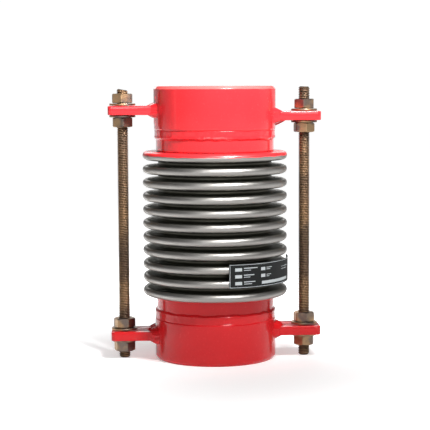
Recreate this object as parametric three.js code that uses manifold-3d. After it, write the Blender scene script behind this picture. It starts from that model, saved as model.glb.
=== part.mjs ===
// Axial bellows expansion joint with weld ends and two tie rods. Millimetres, +Z up, front toward -Y.
import * as THREE from 'three';
import * as BufferGeometryUtils from 'three/addons/utils/BufferGeometryUtils.js';
import Module from 'manifold-3d';

const wasm = await Module();
wasm.setup();

// ---- driving dimensions ----
const PIPE_OD = 108;
const PIPE_WALL = 4;
const BEVEL_RADIAL = 1.6;
const BEVEL_AXIAL = 2.6;
const LOWER_PIPE_LENGTH = 36.3;
const UPPER_PIPE_LENGTH = 38.3;
const SEAM_BAND_LENGTH = 8.6;
const SEAM_BAND_SINK = 0.6;

const COLLAR_STEP = 1.6;
const COLLAR_WALL = 1.7;
const LOWER_COLLAR_LENGTH = 11.5;
const UPPER_COLLAR_LENGTH = 10.0;

const CONVOLUTIONS = 11;
const PITCH = 12.0;
const CONVOLUTION_HEIGHT = 13.9;
const CREST_RADIUS = 3.7;
const PLY = 1.0;

const LINER_CLEARANCE = 3.0;
const LINER_WALL = 1.6;
const LINER_OVERLAP = 16;
const LINER_FLANGE_HEIGHT = 6;

const ROD_DIAMETER = 10;
const ROD_TO_CREST = 11.4;
const ROD_OFFSET_X = -0.9;
const ROD_CHAMFER = 1.2;
const ROD_SETBACK = { bottom: 0, top_left: 2.2, top_right: 0.6 };

const LUG_WIDTH = 32;
const LUG_THICKNESS = 8;
const LUG_CHAMFER = 2.2;
const LUG_TIP_MARGIN = { lower_left: 12.5, lower_right: 12.5, upper_left: 13.6, upper_right: 12.5 };
const LUG_FROM_END = { lower_left: 20.9, lower_right: 24.2, upper_left: 21.1, upper_right: 26.4 };

const NUT_ACROSS_FLATS = 17;
const NUT_HEIGHT = 8.4;
const NUT_FACE = 0.95;
const NUT_CHAMFER_DEG = 30;
const NUT_TURN = {
  lower_left: { above: 24, below: 16.8 },
  lower_right: { above: 9, below: -11.5 },
  upper_left: { above: -5.8, below: 3.9 },
  upper_right: { above: -7.4, below: 8 },
};
const WASHER_OD = 23;
const WASHER_THICKNESS = 1.8;

const LABEL_HEIGHT = 21;
const LABEL_CREST = 1.62;
const LABEL_THICKNESS = 0.5;
const LABEL_START_DEG = 7.3;
const LABEL_END_DEG = 96;

const GAP = 0.3;

// ---- derived sizes ----
const PIPE_R = PIPE_OD / 2;
const BORE_R = PIPE_R - PIPE_WALL;
const BAND_R = PIPE_R - SEAM_BAND_SINK;
const COLLAR_R = PIPE_R - COLLAR_STEP;
const COLLAR_BORE_R = COLLAR_R - COLLAR_WALL;
const CUFF_R = COLLAR_BORE_R - GAP;
const CREST_R = CUFF_R + CONVOLUTION_HEIGHT;
const ROOT_RADIUS = PITCH / 2 - CREST_RADIUS;
const LOWER_STUB_END = LOWER_PIPE_LENGTH + SEAM_BAND_LENGTH;
const LOWER_COLLAR_Z = LOWER_STUB_END + GAP;
const FIRST_CREST_Z = LOWER_COLLAR_Z + LOWER_COLLAR_LENGTH + GAP + CREST_RADIUS;
const LAST_CREST_Z = FIRST_CREST_Z + (CONVOLUTIONS - 1) * PITCH;
const UPPER_COLLAR_Z = LAST_CREST_Z + CREST_RADIUS + GAP + UPPER_COLLAR_LENGTH;
const UPPER_STUB_END = UPPER_COLLAR_Z + GAP;
const OVERALL_LENGTH = UPPER_STUB_END + SEAM_BAND_LENGTH + UPPER_PIPE_LENGTH;
const LINER_R = BORE_R - LINER_CLEARANCE;
const LINER_TOP_Z = UPPER_STUB_END + LINER_OVERLAP;
const LINER_BOTTOM_Z = LOWER_STUB_END - LINER_OVERLAP;
const ROD_R = ROD_DIAMETER / 2;
const ROD_X = CREST_R + ROD_TO_CREST + ROD_R;
const HOLE_R = ROD_R + GAP;
const LUG_HOLE_R = ROD_R + 2 * GAP;
const LABEL_MID_Z = FIRST_CREST_Z + LABEL_CREST * PITCH;

// ---- finishes ----
const finish = (color, roughness, metalness) =>
  new THREE.MeshStandardMaterial({ color, roughness, metalness });
const RED_PAINT = finish(0xc8323a, 0.35, 0.1);
const STAINLESS = finish(0xb9b4ac, 0.32, 1.0);
const PASSIVATED = finish(0x8a6a42, 0.45, 0.9);
const ZINC_GOLD = finish(0xbda06a, 0.4, 0.9);
const LABEL_FILM = finish(0x2b2e2f, 0.5, 0.0);

// ---- helpers ----
const SIDES = 48;
const point = (x, y) => new THREE.Vector2(x, y);

function turned(profile, sides = SIDES) {
  const geometry = new THREE.LatheGeometry(profile.concat([profile[0]]), sides);
  return geometry.rotateX(Math.PI / 2);
}

function toManifold(geometry) {
  const bare = geometry.clone();
  bare.deleteAttribute('normal');
  bare.deleteAttribute('uv');
  const welded = BufferGeometryUtils.mergeVertices(bare, 1e-4);
  const vertProperties = Float32Array.from(welded.attributes.position.array);
  const triVerts = Uint32Array.from(welded.index.array);
  return new wasm.Manifold(new wasm.Mesh({ numProp: 3, vertProperties, triVerts }));
}

function fromManifold(solid) {
  const mesh = solid.getMesh();
  const geometry = new THREE.BufferGeometry();
  geometry.setAttribute('position', new THREE.BufferAttribute(mesh.vertProperties, 3));
  geometry.setIndex(new THREE.BufferAttribute(mesh.triVerts, 1));
  geometry.computeVertexNormals();
  return geometry;
}

function node(name, geometry, material, z = 0, x = 0) {
  const mesh = new THREE.Mesh(geometry, material);
  mesh.name = name;
  mesh.position.set(x, 0, z);
  return mesh;
}

function upright(geometry) {
  return geometry.rotateX(Math.PI / 2);
}

// ---- sub-parts ----
// A pipe stub from its bevelled end at 0 up to the seam band that carries the weld.
function weldEnd(pipeLength) {
  const end = pipeLength + SEAM_BAND_LENGTH;
  return turned([
    point(BORE_R, 0),
    point(PIPE_R - BEVEL_RADIAL, 0),
    point(PIPE_R, BEVEL_AXIAL),
    point(PIPE_R, pipeLength),
    point(BAND_R, pipeLength + SEAM_BAND_SINK),
    point(BAND_R, end - SEAM_BAND_SINK),
    point(BAND_R - SEAM_BAND_SINK, end),
    point(BORE_R, end),
  ]);
}

function collar(length) {
  const edge = COLLAR_WALL / 3;
  return turned([
    point(COLLAR_BORE_R, 0),
    point(COLLAR_R, 0),
    point(COLLAR_R, length - edge),
    point(COLLAR_R - edge, length),
    point(COLLAR_BORE_R, length),
  ]);
}

function arc(cx, cy, radius, from, to, steps) {
  const points = [];
  for (let i = 0; i <= steps; i += 1) {
    const a = THREE.MathUtils.degToRad(from + ((to - from) * i) / steps);
    points.push(point(cx + radius * Math.cos(a), cy + radius * Math.sin(a)));
  }
  return points;
}

// One face of the convoluted wall, going up. The inner face is the outer one moved in by one ply.
// Between convolutions the root is rounded. Next to the cuffs it is a square corner.
function convolutedFace(inset, crestSteps) {
  const crest = CREST_RADIUS - inset;
  const root = ROOT_RADIUS + inset;
  const cuff = CUFF_R - inset;
  const points = [point(cuff, LOWER_STUB_END + GAP), point(cuff, FIRST_CREST_Z - crest)];
  for (let i = 0; i < CONVOLUTIONS; i += 1) {
    const z = FIRST_CREST_Z + i * PITCH;
    points.push(...arc(CREST_R - CREST_RADIUS, z, crest, -90, 90, crestSteps));
    if (i === CONVOLUTIONS - 1) break;
    points.push(...arc(CUFF_R + ROOT_RADIUS, z + PITCH / 2, root, 270, 90, 2));
  }
  points.push(point(cuff, LAST_CREST_Z + crest), point(cuff, UPPER_STUB_END - GAP));
  return points;
}

function bellows() {
  const inner = convolutedFace(PLY, 3).reverse();
  return turned(convolutedFace(0, 4).concat(inner), 32);
}

// The sleeve is flared out at its lower end to meet the stub's bore. Its upper end is free.
function liner() {
  const bore = LINER_R - LINER_WALL;
  const flange = LINER_BOTTOM_Z + LINER_FLANGE_HEIGHT;
  return turned([
    point(bore, LINER_BOTTOM_Z),
    point(BORE_R - GAP, LINER_BOTTOM_Z),
    point(BORE_R - GAP, flange),
    point(LINER_R, flange + BORE_R - LINER_R),
    point(LINER_R, LINER_TOP_Z),
    point(bore, LINER_TOP_Z),
  ], 40);
}

// A flat bar with two clipped corners, hollowed to the pipe's outside and drilled for the rod.
function lug(corner, side) {
  const w = LUG_WIDTH / 2;
  const tip = ROD_X + LUG_TIP_MARGIN[corner];
  const root = PIPE_R - w;
  const bar = new THREE.Shape([
    point(root, -w),
    point(tip - LUG_CHAMFER, -w),
    point(tip, -w + LUG_CHAMFER),
    point(tip, w - LUG_CHAMFER),
    point(tip - LUG_CHAMFER, w),
    point(root, w),
  ]);
  const flat = new THREE.ExtrudeGeometry(bar, { depth: LUG_THICKNESS, bevelEnabled: false });
  flat.translate(0, 0, -LUG_THICKNESS / 2);
  const high = LUG_THICKNESS * 2;
  const pipe = upright(new THREE.CylinderGeometry(PIPE_R + GAP, PIPE_R + GAP, high, SIDES * 2));
  const hole = upright(new THREE.CylinderGeometry(LUG_HOLE_R, LUG_HOLE_R, high, 24));
  hole.translate(ROD_X + side * ROD_OFFSET_X, 0, 0);
  const solid = toManifold(flat).subtract(toManifold(pipe)).subtract(toManifold(hole));
  const geometry = fromManifold(solid);
  return side > 0 ? geometry : geometry.rotateZ(Math.PI);
}

function tieRod(length) {
  return turned([
    point(0, 0),
    point(ROD_R - ROD_CHAMFER, 0),
    point(ROD_R, ROD_CHAMFER),
    point(ROD_R, length - ROD_CHAMFER),
    point(ROD_R - ROD_CHAMFER, length),
    point(0, length),
  ], 24);
}

// A hex prism whose corners are cut by a cone at both ends, with a plain bore for the rod.
function nut() {
  const corner = NUT_ACROSS_FLATS / Math.sqrt(3);
  const face = (NUT_ACROSS_FLATS / 2) * NUT_FACE;
  const drop = (corner - face) * Math.tan(THREE.MathUtils.degToRad(NUT_CHAMFER_DEG));
  const prism = upright(new THREE.CylinderGeometry(corner, corner, NUT_HEIGHT, 6));
  const cone = turned([
    point(0, -NUT_HEIGHT / 2),
    point(face, -NUT_HEIGHT / 2),
    point(corner, -NUT_HEIGHT / 2 + drop),
    point(corner, NUT_HEIGHT / 2 - drop),
    point(face, NUT_HEIGHT / 2),
    point(0, NUT_HEIGHT / 2),
  ], 24);
  const bore = upright(new THREE.CylinderGeometry(HOLE_R, HOLE_R, NUT_HEIGHT * 2, 24));
  return fromManifold(toManifold(prism).intersect(toManifold(cone)).subtract(toManifold(bore)));
}

function washer() {
  return turned([
    point(LUG_HOLE_R, 0),
    point(WASHER_OD / 2, 0),
    point(WASHER_OD / 2, WASHER_THICKNESS),
    point(LUG_HOLE_R, WASHER_THICKNESS),
  ], 24);
}

// A curved strip just outside the crests. Angles run from the front toward +X.
function ratingLabel() {
  const inner = CREST_R + GAP;
  const outer = inner + LABEL_THICKNESS;
  const from = THREE.MathUtils.degToRad(LABEL_START_DEG - 90);
  const to = THREE.MathUtils.degToRad(LABEL_END_DEG - 90);
  const outline = new THREE.Shape();
  outline.absarc(0, 0, outer, from, to, false);
  outline.absarc(0, 0, inner, to, from, true);
  return new THREE.ExtrudeGeometry(outline, {
    depth: LABEL_HEIGHT,
    bevelEnabled: false,
    curveSegments: 18,
  });
}

// ---- assembly ----
const joint = new THREE.Group();
joint.name = 'bellows_expansion_joint';

const lowerEnd = new THREE.Group();
lowerEnd.name = 'lower_end';
lowerEnd.add(node('lower_weld_end', weldEnd(LOWER_PIPE_LENGTH), RED_PAINT));
lowerEnd.add(node('lower_collar', collar(LOWER_COLLAR_LENGTH), RED_PAINT, LOWER_COLLAR_Z));
lowerEnd.add(node('flow_liner', liner(), STAINLESS));
joint.add(lowerEnd);

// The upper end is made standing on its pipe end and turned over.
const upperEnd = new THREE.Group();
upperEnd.name = 'upper_end';
const upperStub = node('upper_weld_end', weldEnd(UPPER_PIPE_LENGTH), RED_PAINT, OVERALL_LENGTH);
const upperCollar = node('upper_collar', collar(UPPER_COLLAR_LENGTH), RED_PAINT, UPPER_COLLAR_Z);
upperStub.rotation.x = Math.PI;
upperCollar.rotation.x = Math.PI;
upperEnd.add(upperStub, upperCollar);
joint.add(upperEnd);

joint.add(node('bellows', bellows(), STAINLESS));
joint.add(node('rating_label', ratingLabel(), LABEL_FILM, LABEL_MID_Z - LABEL_HEIGHT / 2));

for (const [side, sign] of [['left', -1], ['right', 1]]) {
  const length = OVERALL_LENGTH - ROD_SETBACK[`top_${side}`] - ROD_SETBACK.bottom;
  const x = sign * ROD_X + ROD_OFFSET_X;
  const rod = node(`tie_rod_${side}`, tieRod(length), PASSIVATED, ROD_SETBACK.bottom, x);
  joint.add(rod);
}

// Each lug carries a washer and a nut on either face.
function lugSet(corner) {
  const side = corner.endsWith('left') ? -1 : 1;
  const group = new THREE.Group();
  group.name = `${corner}_lug_set`;
  const fromEnd = LUG_FROM_END[corner];
  group.position.z = corner.startsWith('lower') ? fromEnd : OVERALL_LENGTH - fromEnd;
  group.add(node(`lug_${corner}`, lug(corner, side), RED_PAINT));
  const x = side * ROD_X + ROD_OFFSET_X;
  const washerZ = LUG_THICKNESS / 2 + GAP;
  const nutZ = washerZ + WASHER_THICKNESS + GAP + NUT_HEIGHT / 2;
  group.add(node(`washer_${corner}_above`, washer(), ZINC_GOLD, washerZ, x));
  group.add(node(`washer_${corner}_below`, washer(), ZINC_GOLD, -washerZ - WASHER_THICKNESS, x));
  for (const [face, sign] of [['above', 1], ['below', -1]]) {
    const hex = node(`nut_${corner}_${face}`, nut(), ZINC_GOLD, sign * nutZ, x);
    hex.rotation.z = THREE.MathUtils.degToRad(NUT_TURN[corner][face] - 90);
    group.add(hex);
  }
  return group;
}

lowerEnd.add(lugSet('lower_left'));
lowerEnd.add(lugSet('lower_right'));
upperEnd.add(lugSet('upper_left'));
upperEnd.add(lugSet('upper_right'));

export default joint;
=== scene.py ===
import math

import bpy
import numpy as np
from mathutils import Matrix, Vector


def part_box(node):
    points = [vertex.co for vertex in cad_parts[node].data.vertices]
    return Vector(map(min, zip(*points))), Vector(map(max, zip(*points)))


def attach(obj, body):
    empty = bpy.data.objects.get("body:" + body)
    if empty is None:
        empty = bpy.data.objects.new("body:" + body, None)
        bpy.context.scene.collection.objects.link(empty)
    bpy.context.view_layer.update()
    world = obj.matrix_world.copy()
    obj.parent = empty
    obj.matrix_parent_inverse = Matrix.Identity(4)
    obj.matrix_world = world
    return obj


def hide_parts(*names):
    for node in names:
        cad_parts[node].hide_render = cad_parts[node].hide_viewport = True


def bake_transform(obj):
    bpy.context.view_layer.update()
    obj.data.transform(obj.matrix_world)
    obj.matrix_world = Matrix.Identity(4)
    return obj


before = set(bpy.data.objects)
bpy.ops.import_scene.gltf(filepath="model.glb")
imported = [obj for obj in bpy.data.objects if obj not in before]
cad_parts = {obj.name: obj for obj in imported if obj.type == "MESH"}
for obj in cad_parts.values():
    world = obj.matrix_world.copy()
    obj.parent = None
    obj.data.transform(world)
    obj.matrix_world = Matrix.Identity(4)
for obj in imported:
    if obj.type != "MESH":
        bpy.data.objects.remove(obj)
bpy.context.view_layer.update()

MM = 0.001
TAU = 2 * math.pi
CORNERS = ("lower_left", "lower_right", "upper_left", "upper_right")


# ---- sizes read from the frame ----
def span(node, axis):
    """A node's lowest and highest coordinate along one axis, in metres."""
    low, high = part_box(node)
    return low[axis], high[axis]


def outer_radius(node):
    """Half of a node's width across X: the outer radius of a turned piece on the pipe's axis."""
    low, high = span(node, 0)
    return (high - low) / 2


PIPE_R = outer_radius("lower_weld_end")
COLLAR_R = outer_radius("lower_collar")

# ---- sizes that the frame's boxes don't give ----
WALL = 4.0 * MM
BEVEL_DEPTH, BEVEL_LENGTH = 1.6 * MM, 2.6 * MM
SEAM_BAND = 8.6 * MM
COLLAR_TUCK = 1.6 * MM
CUFF_R = 50.4 * MM
PLY = 1.0 * MM
CREST_R = 64.3 * MM
CREST_ARC = 3.7 * MM
CONVOLUTIONS = 11
PITCH = 12.0 * MM
FIRST_CREST_Z = 60.7 * MM
LAST_CREST_Z = FIRST_CREST_Z + (CONVOLUTIONS - 1) * PITCH
BEND_MARGIN = 6 * MM
LINER_R = 47.0 * MM
LINER_WALL = 1.6 * MM
LINER_FOOT = 6 * MM
LUG_EDGE = 0.9 * MM
LUG_HOLE_R = 5.6 * MM
LUG_HOLE_EDGE = 0.5 * MM
LUG_CORNER_CUT = 2.2 * MM
LUG_WELD_LEG = 2.6 * MM
LUG_WELD_ROUGHNESS = {"lower_left": 0.8, "lower_right": 1.1, "upper_left": 0.7, "upper_right": 1.1}
THREAD_PITCH = 1.5 * MM
THREAD_DEPTH = 0.9 * MM
ROD_CHAMFER = 1.3 * MM
ROD_END_SLANT = {"left": 1.3 * MM, "right": 0.2 * MM}
ROD_END_REACH = 3 * MM
NUT_FLAT = 8.5 * MM
NUT_BORE_R = 4.7 * MM
NUT_CONE = math.radians(30)
NUT_TURN = {
    "nut_lower_left_above": 24, "nut_lower_left_below": 16.8,
    "nut_lower_right_above": 9, "nut_lower_right_below": -11.5,
    "nut_upper_left_above": -5.8, "nut_upper_left_below": 3.9,
    "nut_upper_right_above": -7.4, "nut_upper_right_below": 8,
}
WASHER_HOLE_R = 5.5 * MM
LABEL_FROM, LABEL_TO = 7.5, 96.0
LABEL_LIFT, FILM_THICKNESS = 0.32 * MM, 0.25 * MM
INK_LOW, INK_HIGH = 0.2 * MM, 0.31 * MM

# The two seams: wave seed, how far the band and the groove lie under the pipe's surface, the fillet at the
# bead's toe, and the shares of the bead's swell and of its edge's wander.
SEAM = {
    "lower": {
        "seed": 3, "band": 0.35 * MM, "groove": 0.5 * MM, "toe": 0.5 * MM, "swell": 0.8, "wander": 0.7,
    },
    "upper": {
        "seed": 7, "band": 0.5 * MM, "groove": 0.8 * MM, "toe": 0.2 * MM, "swell": 1.0, "wander": 1.0,
    },
}

# ---- colours ----
RED_PAINT = (0.57, 0.016, 0.021)
# Darker red for the lower end: painted shade, as less light falls low on the object.
LOWER_RED_PAINTED_SHADE = (0.51, 0.009, 0.012)
# Paler red for the upper end's bevel: a painted highlight of the light from overhead.
BEVEL_PAINTED_HIGHLIGHT = (0.70, 0.085, 0.08)
# The steel's root colour is painted shade in the bellows' valleys.
STEEL_ROOT_PAINTED_SHADE = (0.12, 0.118, 0.098)
STEEL_CREST = (0.36, 0.347, 0.33)
# The last rod colour darkens the thread's grooves as painted shade.
ROD_TAN, ROD_BROWN, THREAD_GROOVE_PAINTED_SHADE = (0.37, 0.232, 0.13), (0.18, 0.12, 0.08), (0.05, 0.034, 0.024)
NUT_GOLD, NUT_GREY = (0.38, 0.25, 0.14), (0.17, 0.135, 0.115)
FILM_BLACK, INK_GREY = (0.010, 0.011, 0.011), (0.40, 0.43, 0.44)
FLOOR_WHITE = (0.78, 0.78, 0.78)


def end_of(name):
    """The body that a piece rides on: the lower or the upper end, by the word in its name."""
    return "lower_end" if "lower" in name else "upper_end"


def stretch():
    """Two points on the axis: the bellows' lowest and highest heights, each moved in by a margin at its
    cuff.
    """
    low, high = span("bellows", 2)
    return (0, 0, low + BEND_MARGIN), (0, 0, high - BEND_MARGIN)


# ---- waves ----
def ripple(angle, seed, low, high, count=12):
    """A wave that closes on itself round the axis: the sum of sines with whole turns from low to high and
    seeded phases, scaled to swing about one each way."""
    rng = np.random.default_rng(seed)
    turns = rng.integers(low, high + 1, count)
    phase = rng.uniform(0, TAU, count)
    return np.sin(np.asarray(angle)[..., None] * turns + phase).sum(-1) * math.sqrt(2 / count)


def near(value, centre, reach):
    """A smooth bump of height one at centre that falls as a Gaussian with the given reach."""
    return np.exp(-(((value - centre) / reach) ** 2))


# ---- surfaces ----
def patch(grid, wrap=False, caps=False):
    """Points, quads and triangles of a shell on a grid. Each row is a closed ring, and each cell between two
    rows is one quad. With wrap the last row joins the first. With caps the first and last rows are each
    closed by triangles to their mean point."""
    rows, cols = grid.shape[:2]
    points = grid.reshape(-1, 3)
    r, c = np.meshgrid(np.arange(rows if wrap else rows - 1), np.arange(cols), indexing="ij")
    rn, cn = (r + 1) % rows, (c + 1) % cols
    quads = np.stack([r * cols + c, r * cols + cn, rn * cols + cn, rn * cols + c], -1).reshape(-1, 4)
    tris = np.zeros((0, 3), int)
    for row, turn in ((0, 1), (rows - 1, -1)) if caps else ():
        ring = row * cols + np.arange(cols)
        hub = np.full(cols, len(points))
        fan = np.stack([np.roll(ring, -1), ring, hub][::turn], -1)
        points = np.vstack([points, grid[row].mean(0)])
        tris = np.vstack([tris, fan])
    return outward(points, quads, tris)


def outward(points, quads, tris):
    """The same shell, with every face reversed if the volume it encloses comes out negative."""
    corners = np.vstack([quads[:, [0, 1, 2]], quads[:, [0, 2, 3]], tris])
    a, b, c = (points[corners[:, k]] for k in range(3))
    if np.einsum("ij,ij->i", a, np.cross(b, c)).sum() < 0:
        quads, tris = quads[:, ::-1], tris[:, ::-1]
    return points, quads, tris


def piece(name, shells, material, body, nodes=(), crease=38.0, ends=None):
    """An object made of one or more shells, with edges sharper than crease left sharp. It rides on body;
    where ends is given, only whether it is given is read, and the object rides on no body and keeps its
    place with its transform applied."""
    offset, points, quads, tris = 0, [], [], []
    for p, q, t in shells:
        points.append(p)
        quads.append(q + offset)
        tris.append(t + offset)
        offset += len(p)
    points, quads, tris = np.vstack(points), np.vstack(quads), np.vstack(tris)
    mesh = bpy.data.meshes.new(name)
    mesh.vertices.add(len(points))
    mesh.vertices.foreach_set("co", points.astype(np.float32).ravel())
    loops = np.concatenate([quads.ravel(), tris.ravel()])
    mesh.loops.add(len(loops))
    mesh.loops.foreach_set("vertex_index", loops.astype(np.int32))
    starts = np.concatenate([np.arange(len(quads)) * 4, len(quads) * 4 + np.arange(len(tris)) * 3])
    mesh.polygons.add(len(starts))
    mesh.polygons.foreach_set("loop_start", starts.astype(np.int32))
    mesh.update(calc_edges=True)
    mesh.validate()
    mesh.polygons.foreach_set("use_smooth", np.ones(len(mesh.polygons), bool))
    mesh.set_sharp_from_angle(angle=math.radians(crease))
    obj = bpy.data.objects.new(name, mesh)
    bpy.context.scene.collection.objects.link(obj)
    mesh.materials.append(material)
    if ends:
        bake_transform(obj)
    else:
        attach(obj, body)
    if nodes:
        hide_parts(*nodes)
    return obj


def rounded(corners, steps=4):
    """A closed outline through (r, z, fillet) corners, each fillet an arc tangent to both sides. The arc is
    the spherical blend of its two end spokes, sin((1 - t) turn) and sin(t turn) over sin(turn)."""
    corners = np.array(corners, float)
    before, after = np.roll(corners, 1, 0), np.roll(corners, -1, 0)
    out = []
    for p, a, b in zip(corners, before, after):
        u, v = a[:2] - p[:2], b[:2] - p[:2]
        u, v = u / np.linalg.norm(u), v / np.linalg.norm(v)
        half = math.acos(np.clip(u @ v, -1, 1)) / 2
        if p[2] <= 0 or half > 1.55:
            out.append(p[None, :2])
            continue
        reach = p[2] / math.tan(half)
        middle = (u + v) / np.linalg.norm(u + v)
        centre = p[:2] + middle * p[2] / math.sin(half)
        first, last = p[:2] + u * reach - centre, p[:2] + v * reach - centre
        t = np.linspace(0, 1, steps + 1)[:, None]
        turn = math.pi - 2 * half
        arc = (np.sin((1 - t) * turn) * first + np.sin(t * turn) * last) / math.sin(turn)
        out.append(centre + arc)
    return np.vstack(out)


def finer(outline, step):
    """The same closed outline with points added so that no stretch is longer than step."""
    stops = np.vstack([outline, outline[:1]])
    runs = []
    for a, b in zip(stops[:-1], stops[1:]):
        n = max(1, math.ceil(np.linalg.norm(b - a) / step))
        runs.append(a + (b - a) * (np.arange(n) / n)[:, None])
    return np.vstack(runs)


def turned(outline, sides, bend=None):
    """A grid of an (r, z) outline carried round the axis. bend changes r and z at each angle."""
    angle = np.arange(sides) / sides * TAU
    r, t = np.meshgrid(outline[:, 0], angle, indexing="ij")
    z = np.repeat(outline[:, 1][:, None], sides, 1)
    if bend:
        r, z = bend(r, z, t)
    return np.stack([r * np.cos(t), r * np.sin(t), z], -1)


def moved(grid, x=0.0, y=0.0, z=0.0, turn=0.0):
    """A grid turned about Z and then shifted."""
    c, s = math.cos(turn), math.sin(turn)
    out = grid @ np.array([[c, s, 0], [-s, c, 0], [0, 0, 1]])
    return out + np.array([x, y, z])


# ---- materials ----
def new_material(name):
    """A material with its nodes, links and Principled shader."""
    material = bpy.data.materials.new(name)
    material.use_nodes = True
    nodes = material.node_tree.nodes
    return material, nodes, material.node_tree.links, nodes["Principled BSDF"]


def add(nodes, kind, **values):
    """A node with its sockets set by name. Names that start with an underscore are the node's own
    settings."""
    node = nodes.new(kind)
    for key, value in values.items():
        if key.startswith("_"):
            setattr(node, key[1:], value)
        else:
            node.inputs[key.replace("_", " ")].default_value = value
    return node


def group(name, inputs, outputs):
    """An empty node group with named sockets, each given as (name, type, default)."""
    tree = bpy.data.node_groups.new(name, "ShaderNodeTree")
    for label, kind, default in inputs:
        socket = tree.interface.new_socket(name=label, in_out="INPUT", socket_type=kind)
        if default is not None:
            socket.default_value = default
    for label, kind in outputs:
        tree.interface.new_socket(name=label, in_out="OUTPUT", socket_type=kind)
    return tree, tree.nodes.new("NodeGroupInput"), tree.nodes.new("NodeGroupOutput")


def blotch_group():
    """Uneven colour: a wide noise and a fine noise, each pulled about its middle and added to one."""
    tree, given, made = group(
        "uneven_tone",
        [("Vector", "NodeSocketVector", None), ("Wide", "NodeSocketFloat", 20.0),
         ("Fine", "NodeSocketFloat", 400.0), ("Amount", "NodeSocketFloat", 0.1)],
        [("Tone", "NodeSocketFloat"), ("Height", "NodeSocketFloat")],
    )
    link = tree.links.new
    wide = add(tree.nodes, "ShaderNodeTexNoise", Detail=3.0)
    fine = add(tree.nodes, "ShaderNodeTexNoise", Detail=4.0, Roughness=0.6)
    link(given.outputs["Vector"], wide.inputs["Vector"])
    link(given.outputs["Vector"], fine.inputs["Vector"])
    link(given.outputs["Wide"], wide.inputs["Scale"])
    link(given.outputs["Fine"], fine.inputs["Scale"])
    both = add(tree.nodes, "ShaderNodeMath", _operation="ADD")
    link(wide.outputs["Fac"], both.inputs[0])
    link(fine.outputs["Fac"], both.inputs[1])
    centred = add(tree.nodes, "ShaderNodeMath", _operation="SUBTRACT")
    centred.inputs[1].default_value = 1.0
    link(both.outputs[0], centred.inputs[0])
    scaled = add(tree.nodes, "ShaderNodeMath", _operation="MULTIPLY_ADD")
    scaled.inputs[2].default_value = 1.0
    link(centred.outputs[0], scaled.inputs[0])
    link(given.outputs["Amount"], scaled.inputs[1])
    link(scaled.outputs[0], made.inputs["Tone"])
    link(fine.outputs["Fac"], made.inputs["Height"])
    return tree


UNEVEN = blotch_group()


def coordinates(nodes, attribute=None):
    """Where a pattern is read from: the piece's own coordinates, or an attribute that stays with the
    surface."""
    if attribute:
        return add(nodes, "ShaderNodeAttribute", _attribute_name=attribute).outputs["Vector"]
    return add(nodes, "ShaderNodeTexCoord").outputs["Object"]


def tone(nodes, links, place, wide, fine, amount):
    """The uneven tone at a place, for a wide and a fine noise scale."""
    node = nodes.new("ShaderNodeGroup")
    node.node_tree = UNEVEN
    links.new(place, node.inputs["Vector"])
    node.inputs["Wide"].default_value = wide
    node.inputs["Fine"].default_value = fine
    node.inputs["Amount"].default_value = amount
    return node


def feed(links, socket, value):
    """Sets a socket to a number or a colour, or links another node's output to it."""
    if isinstance(value, tuple):
        socket.default_value = (*value, 1.0)
    elif isinstance(value, (int, float)):
        socket.default_value = value
    else:
        links.new(value, socket)


def toned(nodes, links, color, factor):
    """A colour multiplied by a grey factor."""
    mix = add(nodes, "ShaderNodeMix", _data_type="RGBA", _blend_type="MULTIPLY")
    mix.inputs["Factor"].default_value = 1.0
    feed(links, mix.inputs["A"], color)
    feed(links, mix.inputs["B"], factor)
    return mix.outputs["Result"]


def band(nodes, links, value, low, high):
    """Zero below low, one above high, and a smooth step between."""
    step = add(nodes, "ShaderNodeMapRange", _interpolation_type="SMOOTHSTEP", From_Min=low, From_Max=high)
    links.new(value, step.inputs["Value"])
    return step.outputs["Result"]


def ranged(nodes, links, value, low, high):
    """A value from zero to one, carried to the range from low to high."""
    step = add(nodes, "ShaderNodeMapRange", To_Min=low, To_Max=high)
    links.new(value, step.inputs["Value"])
    return step.outputs["Result"]


def blended(nodes, links, factor, first, second):
    """The first colour where the factor is zero and the second where it is one."""
    mix = add(nodes, "ShaderNodeMix", _data_type="RGBA")
    links.new(factor, mix.inputs["Factor"])
    feed(links, mix.inputs["A"], first)
    feed(links, mix.inputs["B"], second)
    return mix.outputs["Result"]


def math_node(nodes, links, operation, *values):
    """The result of one operation on numbers and other nodes' outputs."""
    node = add(nodes, "ShaderNodeMath", _operation=operation)
    for socket, value in zip(node.inputs, values):
        feed(links, socket, value)
    return node.outputs[0]


def bump(nodes, links, height, strength, distance):
    """A normal roughened by a height."""
    node = add(nodes, "ShaderNodeBump", Strength=strength, Distance=distance)
    links.new(height, node.inputs["Height"])
    return node.outputs["Normal"]


def noise(nodes, links, place, scale, detail, roughness):
    """A noise value at a place."""
    node = add(nodes, "ShaderNodeTexNoise", Scale=scale, Detail=detail, Roughness=roughness)
    links.new(place, node.inputs["Vector"])
    return node.outputs["Fac"]


def red_enamel(name, color, gloss, highlight_above=None):
    """Brushed enamel with a fine peel. Above the height highlight_above, on the upward bevel, the colour is
    painted paler as a painted highlight of the light from overhead."""
    material, nodes, links, shader = new_material(name)
    place = coordinates(nodes)
    uneven = tone(nodes, links, place, 28.0, 500.0, 0.17)
    # Painted highlight: above the bevel's foot the colour turns paler.
    if highlight_above:
        parts = add(nodes, "ShaderNodeSeparateXYZ")
        links.new(place, parts.inputs[0])
        edge = band(nodes, links, parts.outputs["Z"], highlight_above - 0.3 * MM, highlight_above + 0.3 * MM)
        color = blended(nodes, links, edge, color, BEVEL_PAINTED_HIGHLIGHT)
    links.new(toned(nodes, links, color, uneven.outputs["Tone"]), shader.inputs["Base Color"])
    links.new(ranged(nodes, links, uneven.outputs["Height"], 0.16, 0.34), shader.inputs["Roughness"])
    peel = noise(nodes, links, place, 260.0, 2.0, 0.5)
    links.new(bump(nodes, links, peel, 0.12, 0.3 * MM), shader.inputs["Normal"])
    shader.inputs["Coat Weight"].default_value = gloss
    shader.inputs["Coat Roughness"].default_value = 0.06
    shader.inputs["Specular IOR Level"].default_value = 0.1
    return material


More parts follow.
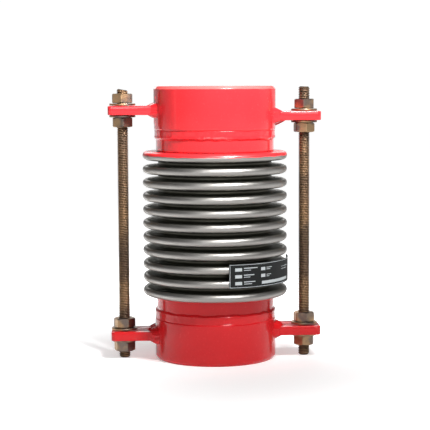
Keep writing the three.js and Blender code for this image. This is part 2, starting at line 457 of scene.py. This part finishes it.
def end_crest_paint(nodes, links, place, height):
    """One where the enamel runs over an end crest and zero on bare steel. A noise makes its edge ragged by
    about a millimetre each way."""
    ragged = noise(nodes, links, place, 90.0, 4.0, 0.6)
    drift = math_node(nodes, links, "MULTIPLY_ADD", ragged, 2.2 * MM, -1.1 * MM)
    height = math_node(nodes, links, "ADD", height, drift)
    above = band(nodes, links, height, LAST_CREST_Z + 0.3 * MM, LAST_CREST_Z + 0.6 * MM)
    bare = band(nodes, links, height, FIRST_CREST_Z - 3.3 * MM, FIRST_CREST_Z - 3.0 * MM)
    return math_node(nodes, links, "MAXIMUM", above, math_node(nodes, links, "SUBTRACT", 1.0, bare))


def steel():
    """Satin steel, brightest on the crests and painted darker where the surface stands closer to the axis:
    painted shade in the valleys. The enamel runs over the outer half of each end crest."""
    material, nodes, links, shader = new_material("satin_stainless")
    place = coordinates(nodes, "rest")
    uneven = tone(nodes, links, place, 35.0, 600.0, 0.22)
    parts = add(nodes, "ShaderNodeSeparateXYZ")
    links.new(place, parts.inputs[0])
    flat = add(nodes, "ShaderNodeCombineXYZ")
    links.new(parts.outputs["X"], flat.inputs["X"])
    links.new(parts.outputs["Y"], flat.inputs["Y"])
    radius = add(nodes, "ShaderNodeVectorMath", _operation="LENGTH")
    links.new(flat.outputs[0], radius.inputs[0])
    # Painted shade: the colour darkens from the crests into the valleys.
    crest = band(nodes, links, radius.outputs["Value"], CREST_R - CREST_ARC, CREST_R)
    metal = blended(nodes, links, crest, STEEL_ROOT_PAINTED_SHADE, STEEL_CREST)
    metal = toned(nodes, links, metal, uneven.outputs["Tone"])
    paint = end_crest_paint(nodes, links, place, parts.outputs["Z"])
    links.new(blended(nodes, links, paint, metal, RED_PAINT), shader.inputs["Base Color"])
    links.new(math_node(nodes, links, "SUBTRACT", 1.0, paint), shader.inputs["Metallic"])
    links.new(ranged(nodes, links, uneven.outputs["Height"], 0.33, 0.48), shader.inputs["Roughness"])
    links.new(math_node(nodes, links, "MULTIPLY", paint, 0.5), shader.inputs["Coat Weight"])
    links.new(bump(nodes, links, uneven.outputs["Height"], 0.08, 0.2 * MM), shader.inputs["Normal"])
    shader.inputs["Coat Roughness"].default_value = 0.1
    return material


def zinc(name, color, stain, stain_scale, roughness, mottle, groove=None):
    """Passivated zinc with darker stains. Where groove gives a colour, it is painted shade at the bottom of
    the thread, which the attribute crest marks with zero."""
    material, nodes, links, shader = new_material(name)
    place = coordinates(nodes)
    uneven = tone(nodes, links, place, 90.0, 900.0, mottle)
    cloud = noise(nodes, links, place, stain_scale, 2.0, 0.5)
    color = blended(nodes, links, band(nodes, links, cloud, 0.42, 0.6), color, stain)
    # Painted shade: the thread's grooves take the darker colour.
    if groove:
        height = add(nodes, "ShaderNodeAttribute", _attribute_name="crest").outputs["Fac"]
        color = blended(nodes, links, height, groove, color)
    links.new(toned(nodes, links, color, uneven.outputs["Tone"]), shader.inputs["Base Color"])
    links.new(ranged(nodes, links, uneven.outputs["Height"], *roughness), shader.inputs["Roughness"])
    links.new(bump(nodes, links, uneven.outputs["Height"], 0.15, 0.2 * MM), shader.inputs["Normal"])
    shader.inputs["Metallic"].default_value = 1.0
    return material


def film(name, color, roughness):
    """Printed plastic film, almost matt and slightly uneven."""
    material, nodes, links, shader = new_material(name)
    place = coordinates(nodes, "rest")
    uneven = tone(nodes, links, place, 60.0, 900.0, 0.15)
    links.new(toned(nodes, links, color, uneven.outputs["Tone"]), shader.inputs["Base Color"])
    links.new(bump(nodes, links, uneven.outputs["Height"], 0.05, 0.2 * MM), shader.inputs["Normal"])
    shader.inputs["Roughness"].default_value = roughness
    shader.inputs["Specular IOR Level"].default_value = 0.15
    return material


BEVEL_FOOT_Z = span("upper_weld_end", 2)[1] - BEVEL_LENGTH - 0.1 * MM
RED = {
    # The upper end's bevel carries a painted highlight above BEVEL_FOOT_Z.
    "upper_end": red_enamel("red_enamel_upper", RED_PAINT, 0.7, highlight_above=BEVEL_FOOT_Z),
    # The lower end's red is painted darker as painted shade.
    "lower_end": red_enamel("red_enamel_lower_painted_shade", LOWER_RED_PAINTED_SHADE, 0.4),
}
STEEL = steel()
# The rods' thread grooves get painted shade.
ROD_FINISH = zinc("passivated_rod", ROD_TAN, ROD_BROWN, 26.0, (0.54, 0.68), 0.25, groove=THREAD_GROOVE_PAINTED_SHADE)
NUT_FINISH = zinc("yellow_zinc", NUT_GOLD, NUT_GREY, 75.0, (0.32, 0.50), 0.5)
LABEL_FILM = film("dark_film", FILM_BLACK, 0.55)
LABEL_INK = film("pale_ink", INK_GREY, 0.5)


# ---- weld ends ----
def weld_end(end):
    """A pipe stub turned from its section, measured from its bevelled tip. Next to the collar lies the seam
    band, and at its edge a laid bead: the radius swells in overlapping scallops, |sin| of the angle with a
    wave in its phase, and the bead's toe and the seam's groove wander round the pipe."""
    name, body, seam = end + "_weld_end", end + "_end", SEAM[end]
    low, high = span(name, 2)
    tip, way = (low, 1) if end == "lower" else (high, -1)
    length = high - low
    pipe = length - SEAM_BAND
    bore = PIPE_R - WALL
    band_r, groove_r = PIPE_R - seam["band"], PIPE_R - seam["groove"]
    section = rounded([
        (bore, 0, 0.3 * MM),
        (PIPE_R - BEVEL_DEPTH, 0, 0.3 * MM),
        (PIPE_R, BEVEL_LENGTH, 0.8 * MM),
        (PIPE_R, pipe - 1.0 * MM, 0.4 * MM),
        (PIPE_R - 0.35 * MM, pipe - 0.1 * MM, 0.12 * MM),
        (groove_r, pipe + 0.1 * MM, 0.1 * MM),
        (groove_r, pipe + 0.3 * MM, 0.1 * MM),
        (band_r, pipe + 0.7 * MM, 0.3 * MM),
        (band_r, length - 1.9 * MM, 0.6 * MM),
        (COLLAR_R + 0.1 * MM, length - 0.1 * MM, seam["toe"]),
        (COLLAR_R - 0.5 * MM, length + 0.1 * MM, 0.1 * MM),
        (bore, length, 0.2 * MM),
    ])

    def bead(r, z, t):
        seed = seam["seed"]
        outside = r > bore + 1.2 * MM
        crown = near(z, length - 1.5 * MM, 1.2 * MM)
        beads = np.abs(np.sin(t * 41 + 0.9 * ripple(t, seed + 2, 2, 9)))
        lump = np.clip(ripple(t, seed + 4, 5, 23), 0, 2)
        swell = (0.26 * beads + 0.16 * lump) * MM * crown * seam["swell"]
        swell += 0.05 * MM * ripple(t, seed + 3, 20, 60) * near(z, pipe + 4 * MM, 3 * MM)
        sway = 0.34 * ripple(t, seed, 3, 11)
        sway += 0.3 * ripple(t, seed + 5, 16, 30) * (1 + np.cos(t + 0.9)) / 2
        wander = sway * MM * near(z, length, 1.8 * MM) * seam["wander"]
        drift = 0.13 * MM * ripple(t, seed + 1, 3, 14) * near(z, pipe + 0.2 * MM, 1.1 * MM)
        return r + swell * outside, z + (wander + drift) * outside

    grid = turned(finer(section, 0.8 * MM), 500, bead)
    grid[..., 2] = tip + way * grid[..., 2]
    piece(name + "_turned", [patch(grid, wrap=True)], RED[body], body, [name], crease=30)


def collar(end):
    """A ring over the cuff: a short tube with a rounded free edge, a little out of round. Its other edge
    runs in under the weld bead."""
    name, body = end + "_collar", end + "_end"
    low, high = span(name, 2)
    if end == "lower":
        low -= COLLAR_TUCK
    else:
        high += COLLAR_TUCK
    inner = CUFF_R + 0.2 * MM
    section = rounded([
        (inner, low, 0.1 * MM),
        (COLLAR_R, low, 0.5 * MM),
        (COLLAR_R, high, 0.5 * MM),
        (inner, high, 0.1 * MM),
    ])

    def oval(r, z, t):
        return r + 0.08 * MM * ripple(t, 21, 2, 5), z

    grid = turned(finer(section, 1.5 * MM), 240, oval)
    piece(name + "_ring", [patch(grid, wrap=True)], RED[body], body, [name])


# ---- bellows ----
def convoluted(inset, crest_steps, root_steps):
    """The wall's outline going up: half circles outward at the crests and inward at the roots, joined by
    straight flanks. inset moves it in by the ply."""
    crest, root = CREST_ARC - inset, PITCH / 2 - CREST_ARC + inset
    cuff = CUFF_R - inset
    low, high = span("bellows", 2)
    centre_out, centre_in = CREST_R - CREST_ARC, CUFF_R + PITCH / 2 - CREST_ARC
    rows = [np.array([[cuff, low], [cuff, FIRST_CREST_Z - crest]])]
    for k in range(CONVOLUTIONS):
        z = FIRST_CREST_Z + k * PITCH
        a = np.linspace(-math.pi / 2, math.pi / 2, crest_steps + 1)
        rows.append(np.stack([centre_out + crest * np.cos(a), z + crest * np.sin(a)], -1))
        if k < CONVOLUTIONS - 1:
            a = np.linspace(-math.pi / 2, math.pi / 2, root_steps + 1)
            rows.append(np.stack([centre_in - root * np.cos(a), z + PITCH / 2 + root * np.sin(a)], -1))
    rows.append(np.array([[cuff, LAST_CREST_Z + crest], [cuff, high]]))
    return np.vstack(rows)


def bellows():
    """The convoluted wall with its inner face, as one closed shell. Each convolution leans and swells a
    little as formed metal does, by sines of the angle whose phase steps from one convolution to the next."""
    outer = convoluted(0, 12, 8)
    inner = convoluted(PLY, 6, 5)[::-1]
    outline = np.vstack([outer, inner])

    def formed(r, z, t):
        k = np.round((z - FIRST_CREST_Z) / PITCH)
        fade = np.clip((r - CUFF_R) / (CREST_R - CUFF_R), 0, 1)
        lean = 0.16 * MM * np.sin(t * 2 + k * 2.1) + 0.1 * MM * np.sin(t + k * 3.7)
        swell = 0.12 * MM * np.sin(t * 3 + k * 1.3)
        return r - np.abs(swell) * fade, z + lean * fade

    grid = turned(outline, 240, formed)
    obj = piece(
        "bellows_wall", [patch(grid, wrap=True)], STEEL, ("lower_end", "upper_end"),
        ["bellows"], crease=60, ends=stretch(),
    )
    keep_rest(obj)


def keep_rest(obj):
    """Stores each point's place at rest as the attribute rest, which materials read their patterns from."""
    co = np.zeros(len(obj.data.vertices) * 3, np.float32)
    obj.data.vertices.foreach_get("co", co)
    obj.data.attributes.new("rest", "FLOAT_VECTOR", "POINT").data.foreach_set("vector", co)


def liner():
    """The inner sleeve: a tube with a rounded free lip, flared out to the stub's bore at its foot."""
    low, high = span("flow_liner", 2)
    foot = outer_radius("flow_liner")
    inner = LINER_R - LINER_WALL
    section = rounded([
        (inner, low, 0.3 * MM),
        (foot, low, 0.5 * MM),
        (foot, low + LINER_FOOT, 0.8 * MM),
        (LINER_R, low + LINER_FOOT + foot - LINER_R, 2 * MM),
        (LINER_R, high, 0.7 * MM),
        (inner, high, 0.7 * MM),
    ])
    grid = turned(finer(section, 3 * MM), 200)
    shell = [patch(grid, wrap=True)]
    keep_rest(piece("flow_liner_sleeve", shell, STEEL, "lower_end", ["flow_liner"]))


# ---- lugs and their fillet welds ----
def lug_outline(tip, half):
    """The lug's plan, anticlockwise from the pipe: two long edges, cut corners and a hollow root."""
    cut = LUG_CORNER_CUT
    root = PIPE_R - 0.2 * MM
    side = math.asin(half / root)
    arc = np.linspace(side, -side, 14)
    hollow = np.stack([root * np.cos(arc), root * np.sin(arc)], -1)
    nose = np.array([[tip - cut, -half], [tip, -half + cut], [tip, half - cut], [tip - cut, half]])
    return finer(np.vstack([hollow, nose]), 1.6 * MM)


def lug(corner):
    """A flat bar with a drilled hole. Each ray from the hole's centre to the outline carries the section:
    hole wall, face, rounded edge, side, and back over the other face."""
    name, body = "lug_" + corner, end_of(corner)
    turn = math.pi if corner.endswith("left") else 0
    low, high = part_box(name)
    tip = max(abs(low[0]), abs(high[0]))
    half = high[1]
    thick = (high[2] - low[2]) / 2
    middle = (high[2] + low[2]) / 2
    hole = np.array([abs(rod_x(corner)), 0])
    ray = lug_outline(tip, half) - hole
    reach = np.linalg.norm(ray, axis=1)
    ray = ray / reach[:, None]
    a = np.linspace(0, math.pi / 2, 4)
    e, c = LUG_EDGE, LUG_HOLE_EDGE
    rows = [(None, LUG_HOLE_R, -thick + c), (None, LUG_HOLE_R + c, -thick)]
    rows += [("edge", e * (1 - math.sin(k)), -thick + e * (1 - math.cos(k))) for k in a]
    rows += [("edge", e * (1 - math.cos(k)), thick - e * (1 - math.sin(k))) for k in a]
    rows += [(None, LUG_HOLE_R + c, thick), (None, LUG_HOLE_R, thick - c)]
    grid = []
    for kind, r, z in rows:
        distance = reach - r if kind else np.full_like(reach, r)
        xy = hole + ray * distance[:, None]
        grid.append(np.column_stack([xy, np.full(len(xy), z)]))
    bar = patch(moved(np.array(grid), z=middle, turn=turn), wrap=True)
    piece(name + "_bar", [bar], RED[body], body, [name], crease=50)
    weld = patch(moved(lug_weld(half, thick, corner), z=middle, turn=turn), wrap=True)
    piece("weld_" + corner, [weld], RED[body], body, crease=70)


def rod_x(corner):
    """The rod's distance along X on the corner's side, negative on the left."""
    low, high = span("tie_rod_" + corner.split("_")[1], 0)
    return (low + high) / 2


def lug_weld(half, thick, corner):
    """The fillet round a lug's root. A path runs round the lug on the pipe's surface, and a three-sided
    bead is carried along it: one leg lies on the pipe, the other on the lug, and the face bulges. The
    legs swell and shrink in overlapping scallops with a few larger blobs."""
    seed = 40 + CORNERS.index(corner)
    ring = rounded([
        (half, thick, 1.2 * MM), (-half, thick, 1.2 * MM),
        (-half, -thick, 1.2 * MM), (half, -thick, 1.2 * MM),
    ])
    ring = finer(ring, 0.5 * MM)
    ahead, behind = np.roll(ring, -1, 0), np.roll(ring, 1, 0)
    along = ahead - behind
    along = along / np.linalg.norm(along, axis=1)[:, None]
    away = np.stack([along[:, 1], -along[:, 0]], -1)
    away *= np.sign((away * ring).sum(1).mean())
    t = np.arange(len(ring)) / len(ring) * TAU
    rough = LUG_WELD_ROUGHNESS[corner]
    wave = 0.3 * ripple(t, seed, 2, 8) + 0.35 * np.abs(np.sin(t * 17 + ripple(t, seed + 9, 2, 6)))
    blob = np.clip(ripple(t, seed + 20, 5, 14) - 0.9, 0, 1.2)
    leg = LUG_WELD_LEG + rough * (wave + blob) * MM
    shape = np.array([
        (-0.9, -0.6), (-0.9, 0.25), (-0.25, 1.0), (0.02, 1.02), (0.24, 0.84),
        (0.5, 0.6), (0.76, 0.34), (0.97, 0.1), (1.05, -0.05), (0.6, -0.25),
    ])
    grid = []
    for u, w in shape:
        flat = ring + away * (leg * max(u, -0.3))[:, None]
        theta = flat[:, 0] / PIPE_R
        x = (PIPE_R - 0.15 * MM) * np.cos(theta) + leg * w * (1.9 if w > 0.3 else 1)
        grid.append(np.stack([x, PIPE_R * np.sin(theta), flat[:, 1]], -1))
    return np.array(grid)


# ---- rods, nuts and washers ----
def tie_rod(side):
    """A rod with a rolled thread: the radius follows a clipped triangle wave of height minus turn, so the
    crest climbs one pitch each turn. Both ends are chamfered, and the top is sawn a little aslant. The
    attribute crest is one on the thread's crest and zero in its groove."""
    name = "tie_rod_" + side
    low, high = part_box(name)
    length = high[2] - low[2]
    x = (low[0] + high[0]) / 2
    major, depth = (high[0] - low[0]) / 2, THREAD_DEPTH
    rows, sides = int(length / THREAD_PITCH * 14), 36
    z, t = np.meshgrid(np.linspace(0, length, rows), np.arange(sides) / sides * TAU, indexing="ij")
    saw = np.abs(((z / THREAD_PITCH - t / TAU) % 1) * 2 - 1)
    r = major - depth * np.clip(saw * 1.45 - 0.35, 0, 1)
    r = np.minimum(r, major - ROD_CHAMFER + np.minimum(z, length - z))
    near_top = np.clip(1 - (length - z) / ROD_END_REACH, 0, 1)
    slant = ROD_END_SLANT[side] * near_top * (1 + np.cos(t)) / 2
    grid = np.stack([r * np.cos(t) + x, r * np.sin(t), z + low[2] - slant], -1)
    obj = piece(name + "_thread", [patch(grid, caps=True)], ROD_FINISH, "lower_end",
                [name], crease=80)
    crest = np.append(np.clip((r - major + depth) / depth, 0, 1).ravel(), [0.7, 0.7])
    obj.data.attributes.new("crest", "FLOAT", "POINT").data.foreach_set("value", crest.astype(np.float32))


def hex_nut(corner, face):
    """A hexagon whose corners are cut by a 30 degree cone at both ends. Round the nut, the flat stands at
    half the width over the cosine of the angle from its middle, and the cone meets it higher at a corner."""
    name = f"nut_{corner}_{face}"
    low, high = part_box(name)
    x = rod_x(corner)
    height = high[2] - low[2]
    flat, bore = NUT_FLAT, NUT_BORE_R
    turn = math.radians(NUT_TURN[name] - 90)
    steps = 20
    a = np.linspace(0, TAU, 6 * steps, endpoint=False)
    from_middle = (a % (TAU / 6)) - TAU / 12
    rim = np.minimum(flat / np.cos(from_middle), flat / math.cos(TAU / 12) - 0.16 * MM)
    crown = flat * 0.95
    cut = np.maximum(rim - crown, 0) * math.tan(NUT_CONE)
    half = height / 2
    rows = [
        (bore + 0.6 * MM, -half), (np.minimum(crown, rim), -half), (rim, -half + cut),
        (rim, half - cut), (np.minimum(crown, rim), half), (bore + 0.6 * MM, half),
        (bore, half - 0.6 * MM), (bore, -half + 0.6 * MM),
    ]
    grid = np.array([np.stack([r * np.cos(a), r * np.sin(a), z + 0 * a], -1) for r, z in rows])
    grid = moved(grid, x=x, z=(low[2] + high[2]) / 2, turn=turn)
    body = name + "_body" if corner.startswith("upper") else "lower_end"
    piece(name + "_hex", [patch(grid, wrap=True)], NUT_FINISH, body, [name], crease=24)


def washer(corner, face):
    """A punched ring: square section, one edge rounded by the punch and the other nearly sharp."""
    name = f"washer_{corner}_{face}"
    low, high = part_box(name)
    x = rod_x(corner)
    outer = (high[0] - low[0]) / 2
    hole = WASHER_HOLE_R
    section = rounded([
        (hole, low[2], 0.15 * MM), (outer, low[2], 0.2 * MM),
        (outer, high[2], 0.5 * MM), (hole, high[2], 0.4 * MM),
    ], 3)
    grid = moved(turned(section, 96), x=x)
    ring = [patch(grid, wrap=True)]
    piece(name + "_ring", ring, NUT_FINISH, end_of(corner), [name], crease=40)


# ---- rating label ----
def curved_plate(a0, a1, z0, z1, r0, r1):
    """A plate bent round the axis. Angles are in degrees from the front toward +X. A four-sided section is
    carried along the arc in steps of about 1.2 degrees and closed at both ends."""
    n = max(2, int((a1 - a0) / 1.2) + 1)
    t = np.radians(np.linspace(a0, a1, n) - 90)
    section = np.array([(r0, z0), (r1, z0), (r1, z1), (r0, z1)])
    r, tt = np.meshgrid(section[:, 0], t, indexing="ij")
    z = np.repeat(section[:, 1][:, None], n, 1)
    grid = np.stack([r * np.cos(tt), r * np.sin(tt), z], -1).transpose(1, 0, 2)
    return patch(grid, caps=True)


def rating_label():
    """The dark film round two crests and the print on it."""
    low, high = span("rating_label", 2)
    height = high - low
    r = CREST_R + LABEL_LIFT
    skin = curved_plate(LABEL_FROM, LABEL_TO, low, high, r, r + FILM_THICKNESS)
    ink = [
        curved_plate(a0, a1, low + v0 * height, low + v1 * height, r + INK_LOW, r + INK_HIGH)
        for a0, a1, v0, v1 in label_marks()
    ]
    body, ends = ("lower_end", "upper_end"), stretch()
    nodes = ["rating_label"]
    keep_rest(piece("rating_label_skin", [skin], LABEL_FILM, body, nodes, ends=ends))
    keep_rest(piece("rating_label_print", ink, LABEL_INK, body, ends=ends))


def label_marks():
    """The print as (from, to, bottom, top): angles in degrees and heights as shares of the label's height.
    Plain boxes and bars stand for fields, with no lettering."""
    left, right, rim = LABEL_FROM + 0.5, LABEL_TO - 0.6, 0.02
    marks = [
        (left, right, 0.025, 0.025 + rim),
        (left, right, 0.975 - rim, 0.975),
        (left, left + 0.35, 0.045, 0.955),
    ]
    marks += [(12.2, 17.6, v, v + 0.13) for v in (0.14, 0.42, 0.70)]
    lines = ((31, 0.80), (25, 0.72), (28, 0.52), (24.5, 0.44), (29, 0.24), (26, 0.16))
    marks += [(19.2, wide, low, low + 0.035 - 0.01 * (k % 2)) for k, (wide, low) in enumerate(lines)]
    marks += [(34.5, 38.6, v, v + 0.13) for v in (0.40, 0.68)]
    lines = ((46, 0.77), (44, 0.70), (45, 0.48), (43, 0.41))
    marks += [(40.0, wide, low, low + 0.025) for wide, low in lines]
    marks.append((35.2, 72.0, 0.12, 0.24))
    marks += [(60.0, 74.0, 0.70, 0.72), (60.0, 70.0, 0.60, 0.62)]
    return marks


weld_end("lower")
weld_end("upper")
collar("lower")
collar("upper")
bellows()
liner()
for corner in CORNERS:
    lug(corner)
    for face in ("above", "below"):
        hex_nut(corner, face)
        washer(corner, face)
tie_rod("left")
tie_rod("right")
rating_label()


# ---- stage, light and camera ----
FLOOR_REACH, FLOOR_DROP = 8.0, 0.2 * MM
LAMP_CENTRE = Vector((0, 0, 0.15))
CAMERA_YAW, CAMERA_PITCH, CAMERA_ROLL = math.radians(3.0), math.radians(5.277), math.radians(0.26)
CAMERA_DISTANCE, CAMERA_HEIGHT = 1.2235, 0.2401
SENSOR_WIDTH = 36.0
LENS = SENSOR_WIDTH * 1375.0 / 430.0


def floor():
    """A flat pale sheet. Far from the object it glows faintly, so that it meets the white surroundings with
    no line between them."""
    material, nodes, links, shader = new_material("pale_floor")
    place = coordinates(nodes)
    uneven = tone(nodes, links, place, 3.0, 200.0, 0.02)
    links.new(toned(nodes, links, FLOOR_WHITE, uneven.outputs["Tone"]), shader.inputs["Base Color"])
    shader.inputs["Roughness"].default_value = 0.8
    length = add(nodes, "ShaderNodeVectorMath", _operation="LENGTH")
    links.new(place, length.inputs[0])
    far = band(nodes, links, length.outputs["Value"], 0.04, 0.24)
    glow = math_node(nodes, links, "MULTIPLY_ADD", far, 0.62, 0.34)
    shader.inputs["Emission Strength"].default_value = 1.0
    tint = add(nodes, "ShaderNodeCombineColor")
    for key in ("Red", "Green", "Blue"):
        links.new(glow, tint.inputs[key])
    links.new(tint.outputs[0], shader.inputs["Emission Color"])
    mesh = bpy.data.meshes.new("floor")
    r, z = FLOOR_REACH, -FLOOR_DROP
    mesh.from_pydata([(-r, -r, z), (r, -r, z), (r, r, z), (-r, r, z)], [], [(0, 1, 2, 3)])
    mesh.materials.append(material)
    obj = bpy.data.objects.new("floor", mesh)
    bpy.context.scene.collection.objects.link(obj)


def softbox(name, azimuth, elevation, distance, aim, size, power, spread=180.0):
    """A rectangular light. azimuth runs from the front toward +X and elevation up from the level, both in
    degrees about LAMP_CENTRE. It faces the height aim on the axis, and spread is the full angle of its beam
    in degrees."""
    turn, rise = math.radians(azimuth), math.radians(elevation)
    away = Vector((math.sin(turn) * math.cos(rise), -math.cos(turn) * math.cos(rise), math.sin(rise)))
    place = LAMP_CENTRE + distance * away
    light = bpy.data.lights.new(name, "AREA")
    light.shape = "RECTANGLE"
    light.size, light.size_y = size
    light.energy = power
    light.spread = math.radians(spread)
    obj = bpy.data.objects.new(name, light)
    obj.location = place
    obj.rotation_euler = (Vector((0, 0, aim)) - place).to_track_quat("-Z", "Y").to_euler()
    bpy.context.scene.collection.objects.link(obj)


def surroundings(low, high, share):
    """White at eye level all round, falling to a dim grey overhead. Only the given share of it lights the
    object, so that the lamps shape its shadows."""
    world = bpy.data.worlds.new("studio")
    world.use_nodes = True
    nodes, links = world.node_tree.nodes, world.node_tree.links
    parts = add(nodes, "ShaderNodeSeparateXYZ")
    links.new(add(nodes, "ShaderNodeTexCoord").outputs["Generated"], parts.inputs[0])
    fall = add(
        nodes, "ShaderNodeMapRange", _interpolation_type="SMOOTHSTEP",
        From_Min=0.09, From_Max=0.26, To_Min=low, To_Max=high,
    )
    links.new(parts.outputs["Z"], fall.inputs["Value"])
    direct = add(nodes, "ShaderNodeLightPath").outputs["Is Camera Ray"]
    seen = math_node(nodes, links, "MULTIPLY_ADD", direct, 1 - share, share)
    strength = math_node(nodes, links, "MULTIPLY", fall.outputs["Result"], seen)
    links.new(strength, nodes["Background"].inputs["Strength"])
    nodes["Background"].inputs["Color"].default_value = (1.0, 1.0, 1.0, 1.0)
    bpy.context.scene.world = world


def camera():
    """Eye level with the upper rim, a little left of the front, looking down by five degrees and rolled by a
    quarter of a degree."""
    yaw, distance = CAMERA_YAW, CAMERA_DISTANCE
    data = bpy.data.cameras.new("camera")
    data.sensor_width = SENSOR_WIDTH
    data.lens = LENS
    data.clip_end = 50.0
    obj = bpy.data.objects.new("camera", data)
    obj.location = (-distance * math.sin(yaw), -distance * math.cos(yaw), CAMERA_HEIGHT)
    turn = Matrix.Rotation(-yaw, 3, "Z") @ Matrix.Rotation(math.pi / 2 - CAMERA_PITCH, 3, "X")
    obj.rotation_euler = (turn @ Matrix.Rotation(-CAMERA_ROLL, 3, "Z")).to_euler()
    bpy.context.scene.collection.objects.link(obj)
    bpy.context.scene.camera = obj


floor()
softbox("front_light", -12, 18, 1.0, 0.36, (0.60, 0.25), 0.33, 56)
softbox("key_light", 16, 18, 1.0, 0.34, (0.30, 0.25), 0.12, 56)
softbox("high_light", 26, 50, 0.62, 0.34, (0.16, 0.16), 2.2, 60)
softbox("side_light", 98, 14, 1.0, 0.32, (0.35, 0.30), 0.03, 60)
softbox("back_light", 180, 25, 1.0, 0.20, (0.80, 0.50), 0.8, 90)
softbox("left_light", -80, 14, 1.0, 0.30, (0.06, 0.50), 0.02, 120)
softbox("top_light", 0, 90, 1.2, 0.0, (1.4, 1.4), 1.5)
surroundings(1.02, 0.16, 0.4)
camera()
bpy.context.scene.view_settings.view_transform = "Standard"
